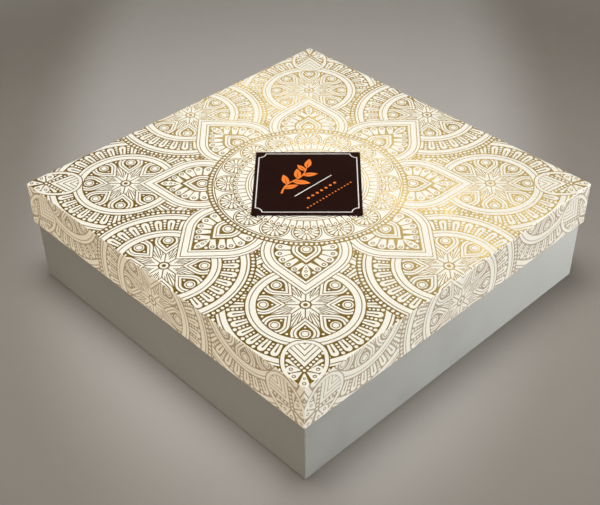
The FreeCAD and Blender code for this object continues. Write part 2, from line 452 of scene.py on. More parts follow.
# %% [markdown]
# ## Drawing the gold print
# The lid carries an old kind of ornament: a round medallion, eight pointed petals
# about it, eight roundels that overlap towards the edges, and a leaf in each
# corner. Printers build such a plate from a few stamps, so the drawing is built
# from a few outlines: discs, tongues, drops and bars. Each stamp is laid over the
# ones before it, either as gold or as bare paper, just as paint would be. All
# sizes are shares of the lid's width.

# %% Plate and places
GOLD, PAPER = True, False
MIDDLE = (0.0, 0.0)
plate = []


def lay(points, ink):
    """Lays one closed outline over all that was laid before."""
    plate.append((np.asarray(points, float), ink))


def at(centre, angle, along, across):
    """Points given along and across a direction from a centre."""
    along, across = np.broadcast_arrays(np.asarray(along, float), np.asarray(across, float))
    c, s = math.cos(angle), math.sin(angle)
    return np.stack([centre[0] + along * c - across * s, centre[1] + along * s + across * c], -1)


def both_sides(along, across):
    """Half an outline closed by its mirror image; the two share their ends."""
    return np.concatenate([along, along[-2:0:-1]]), np.concatenate([across, -across[-2:0:-1]])


def around(centre, angle, radius):
    """One point at a distance from a centre."""
    return (centre[0] + radius * math.cos(angle), centre[1] + radius * math.sin(angle))


def spin(count, first=0.0):
    """Evenly spaced directions."""
    return [first + 2 * math.pi * k / count for k in range(count)]


print("empty plate ready")

# %% [markdown]
# ## Stamps
# The smallest stamps come first, because the larger ones are made of them. A ring
# is a disc of gold with a smaller disc of paper on it, so no stamp needs a hole.

# %% Small stamps
SPOT_SIDES = 8
TONGUE_STEPS = 7
EYE_HOLE = 0.5
DOT_LINE, DOT_HOLE, DOT_SIDES = 0.75, 0.57, 16


def disc(centre, radius, sides, ink):
    turn = np.arange(sides) / sides * 2 * math.pi
    lay(np.stack([centre[0] + radius * np.cos(turn), centre[1] + radius * np.sin(turn)], -1), ink)


def discs(centre, table, sides):
    """Discs from the outside in, which leave rings."""
    for radius, ink in table:
        disc(centre, radius, sides, ink)


def spot(centre, angle, distance, radius):
    """A small paper dot at a distance from a centre."""
    disc(around(centre, angle, distance), radius, SPOT_SIDES, PAPER)


def beads(centre, ring, radius, count, first=0.0):
    for angle in spin(count, first):
        spot(centre, angle, ring, radius)


def tongue(centre, angle, low, high, half_low, half_high, ink):
    """A strip that widens outward and ends round."""
    turn = np.linspace(-math.pi / 2, math.pi / 2, TONGUE_STEPS)
    along = np.concatenate([[low], high - half_high + half_high * np.cos(turn), [low]])
    across = np.concatenate([[-half_low], half_high * np.sin(turn), [half_low]])
    lay(at(centre, angle, along, across), ink)


def bar(centre, angle, low, high, half, ink):
    lay(at(centre, angle, [low, high, high, low], [-half, -half, half, half]), ink)


def eye(centre, radius, sides):
    """A small gold disc with a paper middle."""
    discs(centre, [(radius, GOLD), (radius * EYE_HOLE, PAPER)], sides)


def stamen(centre, angle, low, high, half_low, half_high, eye_radius):
    """A paper tongue with an eye near its round end."""
    tongue(centre, angle, low, high, half_low, half_high, PAPER)
    eye(around(centre, angle, high - half_high), eye_radius, SPOT_SIDES)


def ringed_dot(centre, radius):
    table = [(radius, PAPER), (radius * DOT_LINE, GOLD), (radius * DOT_HOLE, PAPER)]
    discs(centre, table, DOT_SIDES)


print("stamps ready")

# %% [markdown]
# ## Roundels
# A roundel reads from the outside in: a string of beads, a broad paper ring with a
# fine gold line, a ring of slit fingers with dots between them, a white ring with
# another fine line, and a star with hatched arms. Eight shields stand round it.
# The star and the shields have outlines of their own, so they are drawn first.

# %% Star and shields
STAR_POINTS = 8
STAR_SPOKE = (0.012, 0.046, 0.0013)
STAR_SPOT = (0.1005, 0.0032)
RAY_TURN = math.radians(6.5)
RAY_LOW, RAY_STAGGER, RAY_HIGH, RAY_HALF = 0.024, 0.007, 0.0790, 0.0011
SHIELD_MIDDLE, SHIELD_RING, SHIELD_STEPS = 0.0910, 0.1066, 10
SHIELD_TABLE = [(0.0392, 0.0338, GOLD), (0.0430, 0.0312, PAPER), (0.0512, 0.0258, GOLD),
                (0.0548, 0.0235, PAPER), (0.0622, 0.0182, GOLD)]
SHIELD_DOT, SHIELD_DOT_RADIUS = 0.0924, 0.0128
SHIELD_SPOT = (0.0724, 0.0027)


def star(centre, turn):
    """A spoke towards each shield and a fan of five rays in each gap."""
    for angle in spin(STAR_POINTS, turn):
        bar(centre, angle, *STAR_SPOKE, GOLD)
        gap = angle + math.pi / STAR_POINTS
        for k in range(-2, 3):
            low = RAY_LOW + abs(k) * RAY_STAGGER
            bar(centre, gap + k * RAY_TURN, low, RAY_HIGH, RAY_HALF, GOLD)
        spot(centre, gap, *STAR_SPOT)


def shield(centre, angle, tip, radius, ink):
    """A pointed shield, tip inward, whose round head is cut off by the ring outside it."""
    middle, ring = SHIELD_MIDDLE, SHIELD_RING
    meet = (middle ** 2 + radius ** 2 - ring ** 2) / (2 * middle * radius)
    first, last = math.acos(radius / (middle - tip)), math.acos(max(meet, -1.0))
    turn = np.linspace(first, last, SHIELD_STEPS)
    along = np.append(tip, middle - radius * np.cos(turn))
    across = np.append(0.0, radius * np.sin(turn))
    outline = np.concatenate([along, along[:0:-1]]), np.concatenate([across, -across[:0:-1]])
    lay(at(centre, angle, *outline), ink)


def shields(centre, turn):
    for angle in spin(STAR_POINTS, turn):
        for tip, radius, ink in SHIELD_TABLE:
            shield(centre, angle, tip, radius, ink)
        ringed_dot(around(centre, angle, SHIELD_DOT), SHIELD_DOT_RADIUS)
        spot(centre, angle, *SHIELD_SPOT)


print("star and shields:", STAR_POINTS, "points")

# %% [markdown]
# ## The whole roundel
# The stamps go down from the outside in: beads, rings, fingers, inner rings, star,
# shields and hub. Each one covers the loose ends of the one before, which is why
# the fingers may start anywhere under the inner rings.

# %% Roundel stamp
ROUNDEL_RADIUS, ROUNDEL_SIDES = 0.2110, 96
ROUNDEL_BEADS = (0.2032, 0.0043, 104)
ROUNDEL_RING = [(0.1957, PAPER), (0.1903, GOLD), (0.1877, PAPER), (0.1752, GOLD)]
FINGERS, FINGER_LOW = 32, 0.1338
FINGER_TABLE = [(0.1715, 0.0066, 0.0092, PAPER), (0.1610, 0.0010, 0.0021, GOLD)]
FINGER_DOTS = [(0.1686, 0.0047), (0.1580, 0.0040), (0.1485, 0.0034), (0.1398, 0.0028)]
ROUNDEL_INNER = [(0.1342, GOLD), (0.1310, PAPER), (0.1238, GOLD), (0.1216, PAPER),
                 (0.1088, GOLD), (0.0790, PAPER)]
ROUNDEL_HUB = [(0.0142, GOLD), (0.0102, PAPER), (0.0052, GOLD)]
INNER_SIDES, HUB_SIDES = 80, 20


def roundel(centre, turn):
    disc(centre, ROUNDEL_RADIUS, ROUNDEL_SIDES, GOLD)
    beads(centre, *ROUNDEL_BEADS, turn)
    discs(centre, ROUNDEL_RING, ROUNDEL_SIDES)
    for angle in spin(FINGERS, turn):
        for high, half_low, half_high, ink in FINGER_TABLE:
            tongue(centre, angle, FINGER_LOW, high, half_low, half_high, ink)
        for distance, radius in FINGER_DOTS:
            spot(centre, angle + math.pi / FINGERS, distance, radius)
    discs(centre, ROUNDEL_INNER, INNER_SIDES)
    star(centre, turn)
    shields(centre, turn)
    discs(centre, ROUNDEL_HUB, HUB_SIDES)


print("roundel:", len(ROUNDEL_RING) + len(ROUNDEL_INNER), "rings,", FINGERS, "fingers")

# %% [markdown]
# ## Petals
# Each petal is a drop: a round body and two straight sides to a tip. Stamens grow
# inward from its rim, square to it, so they fan out on the round part and stand
# side by side on the straight part. The rim's own geometry gives their places.

# %% Petal outlines
PETAL_HALF_ANGLE = math.radians(43)
PETAL_RIM = [(0.1078, GOLD), (0.1054, PAPER), (0.0992, GOLD), (0.0970, PAPER),
             (0.0836, GOLD), (0.0814, PAPER), (0.0762, GOLD)]
PETAL_FIELD = PETAL_RIM[-1][0]
BUD_STEPS, BUD_LEAN, BUD_ROUND = 13, 1.4, 0.75


def drop(centre, angle, radius, sides, ink):
    start = math.pi / 2 - PETAL_HALF_ANGLE
    turn = np.linspace(start, 2 * math.pi - start, sides)
    along = np.append(radius * np.cos(turn), radius / math.sin(PETAL_HALF_ANGLE))
    lay(at(centre, angle, along, np.append(radius * np.sin(turn), 0.0)), ink)


def rim_place(distance):
    """A place on the field's rim, a distance from the tip, and the way it faces."""
    straight = PETAL_FIELD / math.tan(PETAL_HALF_ANGLE)
    if distance < straight:
        tip = PETAL_FIELD / math.sin(PETAL_HALF_ANGLE)
        along = tip - distance * math.cos(PETAL_HALF_ANGLE)
        return along, distance * math.sin(PETAL_HALF_ANGLE), math.pi / 2 - PETAL_HALF_ANGLE
    turn = math.pi / 2 - PETAL_HALF_ANGLE + (distance - straight) / PETAL_FIELD
    return PETAL_FIELD * math.cos(turn), PETAL_FIELD * math.sin(turn), turn


def inward(centre, angle, side, distance, depth):
    """A point a depth inside the rim, and the direction back out to the rim."""
    along, across, turn = rim_place(distance)
    along, across = along - depth * math.cos(turn), across - depth * math.sin(turn)
    return at(centre, angle, along, side * across), angle + side * turn


def bud(centre, angle, low, high, half, ink):
    """A lens with its broad end outward."""
    s = np.linspace(0, 1, BUD_STEPS)
    across = half * np.sin(math.pi * s ** BUD_LEAN) ** BUD_ROUND
    across[-1] = 0.0
    lay(at(centre, angle, *both_sides(low + (high - low) * s, across)), ink)


print("petal outlines ready")

# %% [markdown]
# ## The whole petal
# A stamen is a paper tongue with a gold line round it, so a slightly larger gold
# tongue goes down first. A bud stands in the tip in the same way. A smaller drop,
# the heart, goes down last and covers the roots of them all.

# %% Petal stamp
PETAL_PLACE, PETAL_SIDES = 0.267, 44
STAMENS = [(0.0500, 0.0088), (0.0715, 0.0092), (0.0955, 0.0104),
           (0.1240, 0.0114), (0.1555, 0.0114), (0.1880, 0.0114)]
STAMEN_DEPTH, STAMEN_LINE = 0.0410, 0.0013
STAMEN_UNDER = (0.001, 0.0398, 0.0074)
STAMEN_OVER, STAMEN_EYE = (0.002, 0.0385, 0.0056), 0.0056
RIM_SPOT, RIM_SPOT_DEPTH, RIM_SPOT_RADIUS = 0.0350, 0.0085, 0.0044
BUD_GAP, BUD_HALF, BUD_LINE = 0.0095, 0.0100, 0.0018
BUD_EYES, BUD_EYE_SIDES = [(0.0898, 0.0046), (0.0757, 0.0042), (0.0655, 0.0030)], 10
HEART = [(0.0362, GOLD), (0.0334, PAPER), (0.0276, GOLD), (0.0252, PAPER), (0.0198, GOLD)]
HEART_SHIFT, HEART_SIDES, HEART_DOT = 0.0035, 22, 0.0140


def petal_stamens(centre, angle, side):
    for distance, half in STAMENS:
        root, outward = inward(centre, angle, side, distance, STAMEN_DEPTH)
        tongue(root, outward, *STAMEN_UNDER, half + STAMEN_LINE, GOLD)
        stamen(root, outward, *STAMEN_OVER, half, STAMEN_EYE)
    place_inside, _ = inward(centre, angle, side, RIM_SPOT, RIM_SPOT_DEPTH)
    disc(place_inside, RIM_SPOT_RADIUS, SPOT_SIDES, PAPER)


def petal(angle):
    centre = around(MIDDLE, angle, PETAL_PLACE)
    heart = around(MIDDLE, angle, PETAL_PLACE - HEART_SHIFT)
    for radius, ink in PETAL_RIM:
        drop(centre, angle, radius, PETAL_SIDES, ink)
    for side in (-1, 1):
        petal_stamens(centre, angle, side)
    tip = PETAL_FIELD / math.sin(PETAL_HALF_ANGLE)
    heart_tip = HEART[0][0] / math.sin(PETAL_HALF_ANGLE) - HEART_SHIFT
    for grown, ink in ((BUD_LINE, GOLD), (0.0, PAPER)):
        bud(centre, angle, heart_tip - grown, tip - BUD_GAP + grown, BUD_HALF + grown, ink)
    for along, radius in BUD_EYES:
        eye(around(centre, angle, along), radius, BUD_EYE_SIDES)
    for radius, ink in HEART:
        drop(heart, angle, radius, HEART_SIDES, ink)
    ringed_dot(heart, HEART_DOT)


print("petal: rim of", len(PETAL_RIM), "lines,", 2 * len(STAMENS), "stamens")

# %% [markdown]
# ## Medallion
# The medallion is the palest part: a bead string, sixteen small wheels in a white
# ring, and a ring of stamens. Its middle stays bare because the plaque covers it.

# %% Medallion stamp
MEDALLION_RADIUS, MEDALLION_SIDES = 0.2518, 160
MEDALLION_BEADS = (0.2438, 0.0042, 128)
MEDALLION_RING = [(0.2365, PAPER), (0.2337, GOLD), (0.2310, PAPER)]
WHEELS, WHEEL_PLACE = 16, 0.1985
WHEEL, WHEEL_SIDES = [(0.0374, GOLD), (0.0348, PAPER), (0.0318, GOLD)], 32
SPOKES, SPOKE = 14, (0.0080, 0.0296, 0.0014, 0.0040)
WHEEL_HUB, WHEEL_HUB_SIDES = 0.0118, 14
WHEEL_BEADS = (0.0088, 0.0025, 8)
WHEEL_EYE, WHEEL_EYE_SIDES = [(0.0062, GOLD), (0.0046, PAPER)], 12
CORE_RADIUS, CORE_SIDES = 0.1872, 128
CORE_STAMENS, CORE_STAMEN = 64, (0.1550, 0.1860, 0.0062, 0.0077, 0.0044)
CORE_RINGS = [(0.1558, GOLD), (0.1536, PAPER), (0.1490, GOLD), (0.1469, PAPER),
              (0.1425, GOLD), (0.1405, PAPER)]


def wheel(hub, turn):
    discs(hub, WHEEL, WHEEL_SIDES)
    for spoke in spin(SPOKES, turn + math.pi / SPOKES):
        tongue(hub, spoke, *SPOKE, PAPER)
    disc(hub, WHEEL_HUB, WHEEL_HUB_SIDES, GOLD)
    beads(hub, *WHEEL_BEADS)
    discs(hub, WHEEL_EYE, WHEEL_EYE_SIDES)


def medallion():
    disc(MIDDLE, MEDALLION_RADIUS, MEDALLION_SIDES, GOLD)
    beads(MIDDLE, *MEDALLION_BEADS)
    discs(MIDDLE, MEDALLION_RING, MEDALLION_SIDES)
    for angle in spin(WHEELS):
        wheel(around(MIDDLE, angle, WHEEL_PLACE), angle)
    disc(MIDDLE, CORE_RADIUS, CORE_SIDES, GOLD)
    for angle in spin(CORE_STAMENS):
        stamen(MIDDLE, angle, *CORE_STAMEN)
    discs(MIDDLE, CORE_RINGS, CORE_SIDES)


print("medallion:", WHEELS, "wheels,", CORE_STAMENS, "stamens")

# %% [markdown]
# ## Corner leaves
# A leaf points out over each corner. Two bead strings meet in it, with nested
# chevrons on the inner side and a fan of stamens on the outer side. The chevrons
# must stop at the leaf's outline, so their outlines are cut along a straight line
# before they are laid.

# %% Leaf outline
LEAF_MIDDLE, LEAF_HALF, LEAF_STEPS = 0.628, 0.0525, 18
LEAF_INNER, LEAF_BLUNT = 0.064, 2.5
LEAF_OUTER, OUTER_INSET = 0.096, 1.6


def leaf_outline(angle, inset):
    """Blunt at the inner end and drawn out to a point past the corner."""
    half, inner = LEAF_HALF - inset, LEAF_INNER - inset
    outer = LEAF_OUTER - OUTER_INSET * inset
    s = np.linspace(-1, 0, LEAF_STEPS)
    t = np.linspace(0, 1, LEAF_STEPS)[1:]
    along = LEAF_MIDDLE + np.concatenate([inner * s, outer * t])
    across = half * np.concatenate([np.sqrt(1 - np.abs(s) ** LEAF_BLUNT), 1 - t ** 2])
    return at(MIDDLE, angle, *both_sides(along, across))


def cut(points, way, limit):
    """The part of an outline that lies below a limit along a direction."""
    kept = []
    side = points @ np.asarray(way) - limit
    for k in range(len(points)):
        if (side[k - 1] < 0) != (side[k] < 0):
            share = side[k - 1] / (side[k - 1] - side[k])
            kept.append(points[k - 1] + (points[k] - points[k - 1]) * share)
        if side[k] < 0:
            kept.append(points[k])
    return np.array(kept)


print("leaf reach:", round(LEAF_MIDDLE + LEAF_OUTER, 3), "of the lid's width")

# %% [markdown]
# ## The whole leaf
# The rim is three leaves inside each other. The fan of stamens goes down next, and
# then a gold ground that hides the inner half of the fan. The beads and the
# chevrons lie on that ground.

# %% Leaf stamp
LEAF_RIM, LEAF_FIELD = [(0.0, GOLD), (0.0026, PAPER), (0.0106, GOLD)], 0.0118
LEAF_HUB = 0.6565
SIDE_TURN, SIDE_TONGUE = math.radians(130), (0.014, 0.050, 0.0030, 0.0044)
SIDE_SPOT_TURN, SIDE_SPOT = math.radians(114), (0.0400, 0.0030)
FAN = [(0, 0.0475), (52, 0.0375), (-52, 0.0375), (98, 0.0385), (-98, 0.0385)]
FAN_LOW, FAN_STAMEN = 0.007, (0.0010, 0.0106, 0.0046)
FAN_EYE, FAN_EYE_RADIUS = 0.0225, 0.0030
CHEVRON_SLOPE = math.radians(53.3)
CHEVRONS, CHEVRON_STEP = 5, 0.0102
CHEVRON_TOP, CHEVRON_START, CHEVRON_END = 0.0058, 0.0062, 0.0143
LEAF_BEADS, LEAF_BEAD_STEP, LEAF_BEAD = 7, 0.0104, 0.0037


def leaf_fan(hub, angle):
    for side in (-1, 1):
        tongue(hub, angle + side * SIDE_TURN, *SIDE_TONGUE, PAPER)
        spot(hub, angle + side * SIDE_SPOT_TURN, *SIDE_SPOT)
    for turn, length in FAN:
        stamen(hub, angle + math.radians(turn), FAN_LOW, length, *FAN_STAMEN)
    eye(around(hub, angle, FAN_EYE), FAN_EYE_RADIUS, SPOT_SIDES)


def corner_leaf(angle):
    for inset, ink in LEAF_RIM:
        lay(leaf_outline(angle, inset), ink)
    field = leaf_outline(angle, LEAF_FIELD)
    ways = [np.array(around(MIDDLE, angle + side * CHEVRON_SLOPE, 1.0)) for side in (-1, 1)]
    crossing = LEAF_HUB * math.cos(CHEVRON_SLOPE)

    def inside(limit, ink):
        lay(cut(cut(field, ways[0], limit), ways[1], limit), ink)

    hub = np.array(around(MIDDLE, angle, LEAF_HUB))
    leaf_fan(hub, angle)
    inside(crossing + CHEVRON_TOP, GOLD)
    for k in range(LEAF_BEADS):
        for side in (-1, 1):
            string = angle + side * (math.pi / 2 + CHEVRON_SLOPE)
            spot(hub, string, k * LEAF_BEAD_STEP, LEAF_BEAD)
    for k in range(CHEVRONS):
        inside(crossing - CHEVRON_START - k * CHEVRON_STEP, PAPER)
        if k < CHEVRONS - 1:
            inside(crossing - CHEVRON_END - k * CHEVRON_STEP, GOLD)


print("leaf:", 2 * LEAF_BEADS, "beads,", CHEVRONS, "chevrons,", len(FAN), "stamens")

# %% [markdown]
# ## The whole plate
# The stamps go down from the back to the front: a dotted gold ground, the corner
# roundels, the edge roundels over them, the petals, the medallion and the leaves.

# %% Lay the plate
REPEATS = 8
GROUND = 0.6
DOTTED_FROM, DOTTED_TO, GROUND_STEP, GROUND_DOT = 0.262, 0.330, 0.012, 0.0036
CORNER_ROUNDEL, EDGE_ROUNDEL = 0.4560, 0.4575

lay([(-GROUND, -GROUND), (GROUND, -GROUND), (GROUND, GROUND), (-GROUND, GROUND)], GOLD)
for ring in np.arange(DOTTED_FROM, DOTTED_TO, GROUND_STEP):
    count = int(round(2 * math.pi * ring / GROUND_STEP / REPEATS)) * REPEATS
    beads(MIDDLE, ring, GROUND_DOT, count, math.pi / count)
for angle in spin(4, math.pi / 4):
    roundel(around(MIDDLE, angle, CORNER_ROUNDEL), angle)
for angle in spin(4):
    roundel(around(MIDDLE, angle, EDGE_ROUNDEL), angle)
for angle in spin(REPEATS):
    petal(angle)
medallion()
for angle in spin(4, math.pi / 4):
    corner_leaf(angle)
print("outlines on the plate:", len(plate))

# %% [markdown]
# ## Cutting the foil
# Foil that is stamped on paper is a real sheet with gaps, so it becomes a mesh and
# not a painted mask: its edges stay sharp at any distance. Boolean cuts on
# thousands of outlines would be slow. A constrained triangulation does it in one
# go: every outline is an edge that no triangle may cross, so each triangle lies
# under a known pile of outlines, and the last one laid says gold or paper.

# %% Cut a plate
INSIDE_OUTLINES, JOIN_WITHIN = 1, 1e-6


def cut_plate(outlines, lines):
    """The points of outlines and lines, and the triangles whose last outline is ink."""
    corners, loops, edges = [], [], []
    for points, _ in outlines:
        x, y = points.T
        if np.sum(x * np.roll(y, -1) - np.roll(x, -1) * y) < 0:
            points = points[::-1]
        loops.append(list(range(len(corners), len(corners) + len(points))))
        corners.extend(Vector((float(a), float(b))) for a, b in points)
    for start, end in lines:
        edges.append((len(corners), len(corners) + 1))
        corners.extend((Vector(start), Vector(end)))
    spots, _, triangles, _, _, piles = delaunay_2d_cdt(
        corners, edges, loops, INSIDE_OUTLINES, JOIN_WITHIN, True
    )
    inked = [t for t, pile in zip(triangles, piles) if pile and outlines[max(pile)][1]]
    return np.array([v[:] for v in spots]), np.array(inked)


print("plate cutter ready")

# %% [markdown]
# ## One wedge of the plate
# The ornament repeats in eighths, so only the wedge between the x axis and the
# diagonal is cut, and outlines that miss it are left out. Lines are added where the
# sheet will fold, so that no triangle spans a fold.

# %% Cut one wedge
FOLD_RADIUS = 0.65 * MM
EDGE_RADIUS = FOLD_RADIUS / lid_width
BAND = skirt_depth / lid_width
MARGIN = 0.05


def near_wedge(points):
    """Whether an outline reaches the wedge between the x axis and the diagonal."""
    high, low = points.max(0), points.min(0)
    return high.min() > 0 and low.max() < 0.5 and (points[:, 1] - points[:, 0]).min() < 0


def cut_wedge():
    far = 0.5 + MARGIN
    folds = [((0, 0), (far, 0)), ((0, 0), (far, far)), ((0.5, -MARGIN), (0.5, far))]
    for inset in (BAND, BAND - EDGE_RADIUS / 2, BAND - EDGE_RADIUS, EDGE_RADIUS, EDGE_RADIUS / 2):
        folds.append(((0.5 - inset, -MARGIN), (0.5 - inset, far)))
        folds.append(((0.5 - BAND - MARGIN, 0.5 - inset), (far, 0.5 - inset)))
    spots, inked = cut_plate([(p, ink) for p, ink in plate if near_wedge(p)], folds)
    x, y = spots[inked].mean(1).T
    return spots, inked[(0 < y) & (y < x) & (x < 0.5)]


wedge_spots, wedge_foil = cut_wedge()
print("gold triangles in the wedge:", len(wedge_foil))

# %% [markdown]
# ## All round the lid
# The wedge is mirrored and turned to fill the square, and points that meet are
# welded.

# %% Fill the square
WELD_DIGITS = 7


def quarter_turn(count):
    """The cosine and sine of some quarter turns, without rounding errors."""
    return round(math.cos(count * math.pi / 2)), round(math.sin(count * math.pi / 2))


def fill_square(spots, foil):
    all_spots, all_foil = [], []
    for quarter in range(4):
        c, s = quarter_turn(quarter)
        for mirrored in (False, True):
            flat = spots[:, ::-1] if mirrored else spots
            all_foil.append((foil[:, ::-1] if mirrored else foil) + len(spots) * len(all_spots))
            all_spots.append(flat @ np.array([[c, s], [-s, c]]))
    joined, places = np.unique(
        np.round(np.concatenate(all_spots), WELD_DIGITS), axis=0, return_inverse=True
    )
    triangles = places.reshape(-1)[np.concatenate(all_foil)]
    sound = np.array([len(set(t)) == 3 for t in triangles.tolist()])
    return joined, triangles[sound]


square_spots, square_foil = fill_square(wedge_spots, wedge_foil)
print("gold triangles on the top:", len(square_foil))

# %% [markdown]
# ## Folding the foil over the edges
# The wrap's folds are slightly round. A flat point is first put on a sharp box,
# then moved to the nearest point of the rounded one: the box shrunk by the fold's
# radius is the core, and the foil lies one radius and a hair away from that core.
# Each sheet also gets a flat layout, just inside the unit square, for its finish.

# %% Fold and build
FOIL_LIFT = 0.04 * MM
LAYOUT_SHARE = 0.98
core_low = np.array(lid_low) + FOLD_RADIUS
core_high = np.array(lid_high) - FOLD_RADIUS


def fold(sharp):
    core = np.clip(sharp, core_low, core_high)
    way = sharp - core
    return core + way / np.linalg.norm(way, axis=1)[:, None] * (FOLD_RADIUS + FOIL_LIFT)


def laid_out(shares):
    return shares * LAYOUT_SHARE + 0.5


def printed_piece(name, places, triangles, flat):
    """A one-sided printed sheet on the lid, with a flat layout for its finish."""
    used, triangles = np.unique(triangles, return_inverse=True)
    triangles = triangles.reshape(-1, 3)
    mesh = bpy.data.meshes.new(name)
    mesh.from_pydata(places[used].tolist(), [], triangles.tolist())
    layout = mesh.uv_layers.new(name="OFBake")
    layout.data.foreach_set("uv", flat[used][triangles.reshape(-1)].astype(np.float32).reshape(-1))
    piece = bpy.data.objects.new(name, mesh)
    bpy.context.scene.collection.objects.link(piece)
    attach(piece, "lid")
    print(name, len(triangles), "triangles")
    return piece


level = np.full(len(square_spots), lid_top)
foil = [printed_piece(
    "foil_top", fold(np.column_stack([square_spots * lid_width, level])), square_foil,
    laid_out(square_spots),
)]

# %% [markdown]
# ## The sides of the lid
# The sides carry the border of the print once more, the same way up: each skirt is
# the band next to its edge, moved down by its own depth.

# %% Side borders
for turn, side in enumerate(("right", "back", "left", "front")):
    c, s = quarter_turn(turn)
    out = square_spots @ np.array([c, s])
    along = square_spots @ np.array([-s, c])
    band = square_foil[(out[square_foil] > 0.5 - BAND - JOIN_WITHIN).all(1)]
    edge = np.column_stack([c * 0.5 - s * along, s * 0.5 + c * along]) * lid_width
    height = lid_top - (out - 0.5 + BAND) * lid_width
    foil.append(printed_piece(
        "foil_" + side, fold(np.column_stack([edge, height])), band,
        laid_out(np.column_stack([along, out])),
    ))

# %% [markdown]
# ## The gold finishes
# Stamped foil is a thin bright metal, but paper lies under it, so its shine is
# satin and broken by the felt. It is metal all through, its tint wanders a little,
# and its roughness follows handling. The sides are printed in a bronze ink, which
# is paler and flatter than foil: most of its colour is pigment, and only a share of
# it is metal.

# %% Foil and ink
gold_foil = paper(
    "gold_foil", tone=rgb(0.845, 0.655, 0.265), fibre=rgb(0.75, 0.56, 0.20),
    per_metre=2400.0, amount=0.6, gloss=(0.17, 0.25), bump_mm=0.006,
)
tune(gold_foil, "Metallic", 1.0)
bronze_ink = paper(
    "bronze_ink", tone=rgb(0.45, 0.375, 0.27), fibre=rgb(0.40, 0.325, 0.225),
    per_metre=2400.0, amount=0.6, gloss=(0.42, 0.54), bump_mm=0.006,
)
tune(bronze_ink, "Metallic", 0.25)
for piece in foil:
    piece.data.materials.append(gold_foil if piece.name == "foil_top" else bronze_ink)
print("gilded pieces:", len(foil))

# %% [markdown]
# ## The plaque's rule
# A dark plaque reads as finished when it has a border and something in the middle.
# It gets a thin white rule with scooped corners, the shape of a ticket, and a short
# straight rule across its middle. These are inks, so they are cut as flat sheets in
# the same way as the foil, in millimetres.

# %% Plaque rule
INK, BARE = True, False
RULE_INSET, RULE_WIDTH = 1.8, 0.62
SCOOP, SCOOP_STEPS = 4.2, 9
SHORT_RULE = np.array([(-15.5, -5.4), (15.3, -5.4), (15.3, -4.8), (-15.5, -4.8)])

plaque_low, plaque_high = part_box("plaque_cover")
plaque_half = (plaque_high.x - plaque_low.x) / 2 / math.sqrt(2) / MM
rule_half = plaque_half - RULE_INSET


def ticket(half, scoop):
    """A square turned to stand on its corner, with a scoop out of each corner."""
    turn = np.linspace(1.5 * math.pi, math.pi, SCOOP_STEPS)[1:-1]
    start = rule_half - math.sqrt(scoop ** 2 - (rule_half - half) ** 2)
    along = [half, *np.minimum(rule_half + scoop * np.cos(turn), half), start]
    across = [start, *np.minimum(rule_half + scoop * np.sin(turn), half), half]
    path = [at(MIDDLE, angle, along, across) for angle in spin(4)]
    return at(MIDDLE, PLAQUE_TURN, *np.concatenate(path).T)


rule_plate = [
    (ticket(rule_half, SCOOP), INK),
    (ticket(rule_half - RULE_WIDTH, SCOOP + RULE_WIDTH), BARE),
    (SHORT_RULE, INK),
]
print("rule outlines:", len(rule_plate))

# %% [markdown]
# ## The plaque's sprig
# A plain leaf sprig in orange stands over the short rule. The stem is a line that
# waves a little and gets thinner. Its leaves are almond blades that lean to either
# side in turn, with one more at the tip.

# %% Sprig stem and leaves
STEM_START, STEM_RUN, STEM_WAVE, STEM_STEPS = (-19, 2.5), (29, 8.5), 1.8, 41
STEM_HALF, STEM_TAPER = 0.62, 0.25
SPRIG_LEAVES = [(6, 9.5), (12, 10.5), (18, 11.0), (24, 10.5), (30, 9.5), (36, 8.5)]
SPRIG_LEAN, SPRIG_WIDTH = math.radians(50), 0.42
TIP_LEAF = (10.0, 4.2)
BLADE_STEPS, BLADE_LEAN, BLADE_ROUND = 13, 0.85, 0.9
RIB_FROM, RIB_TO, RIB_HALF = 0.12, 0.80, 0.24


def leaf_blade(root, angle, length, width):
    """An almond blade with a bare midrib."""
    s = np.linspace(0, 1, BLADE_STEPS)
    half = width / 2 * np.sin(math.pi * s ** BLADE_LEAN) ** BLADE_ROUND
    half[0] = half[-1] = 0.0
    blade = at(root, angle, *both_sides(s * length, half))
    rib_ends = [RIB_FROM * length, RIB_TO * length, RIB_FROM * length]
    return [(blade, INK), (at(root, angle, rib_ends, [-RIB_HALF, 0.0, RIB_HALF]), BARE)]


share = np.linspace(0, 1, STEM_STEPS)
rise = STEM_START[1] + STEM_RUN[1] * share + STEM_WAVE * np.sin(2 * math.pi * share)
stem = np.column_stack([STEM_START[0] + STEM_RUN[0] * share, rise])
way = np.gradient(stem, axis=0)
way /= np.linalg.norm(way, axis=1)[:, None]
half = (STEM_HALF - STEM_TAPER * share)[:, None] * np.column_stack([-way[:, 1], way[:, 0]])
sprig_plate = [(np.concatenate([stem + half, (stem - half)[::-1]]), INK)]
for turn, (k, length) in enumerate(SPRIG_LEAVES, 1):
    lean = math.atan2(way[k, 1], way[k, 0]) + SPRIG_LEAN * (-1) ** turn
    sprig_plate += leaf_blade(stem[k], lean, length, length * SPRIG_WIDTH)
sprig_plate += leaf_blade(stem[-1], math.atan2(way[-1, 1], way[-1, 0]), *TIP_LEAF)
print("sprig outlines:", len(sprig_plate))

# %% [markdown]
# ## Dots under the sprig
# A row of diamonds and a row of small dots balance the sprig in the lower half.
# Both are spaced evenly about the plaque's middle.

# %% Sprig dots
DIAMOND_ROW, DIAMOND_HEIGHT, DIAMOND = np.linspace(-11, 11, 7), -12.0, 1.1
DOT_ROW, DOT_HEIGHT = np.linspace(-18, 18, 15), -18.6
DOT_RADIUS, DOT_POINTS = 0.55, 10

